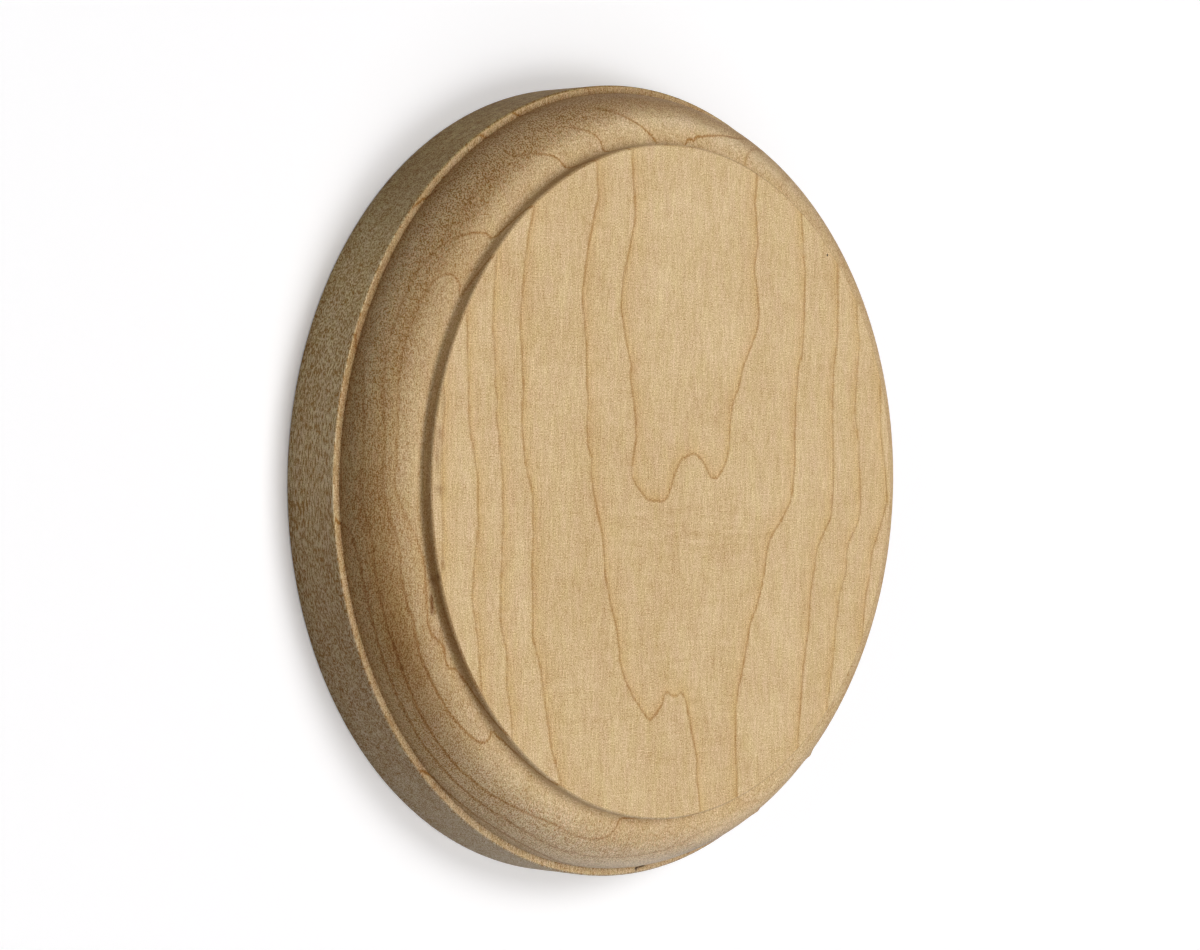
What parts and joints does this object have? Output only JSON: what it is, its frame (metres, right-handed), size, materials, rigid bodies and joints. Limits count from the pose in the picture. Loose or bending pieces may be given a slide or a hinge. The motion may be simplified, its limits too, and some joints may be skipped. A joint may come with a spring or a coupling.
{
  "type": "handrail rosette",
  "caption": "Round turned maple rosette with a plain edge, a narrow ledge, a quarter-round ovolo and a raised flat face, fixed to a wall or newel where the end of a handrail meets it.",
  "frame": {"origin": "middle of the flat back, which lies on z = 0", "axes": "+Z along the turned axis, out of the front face; +Y along the wood's grain; +X across the grain"},
  "size_m": [0.1142, 0.1142, 0.0191],
  "materials": {
    "maple": "unfinished sanded hard maple, flat sawn, with thin brown growth lines along +Y"
  },
  "bodies": {
    "root": {"rosette": "maple"}
  },
  "joints": []
}
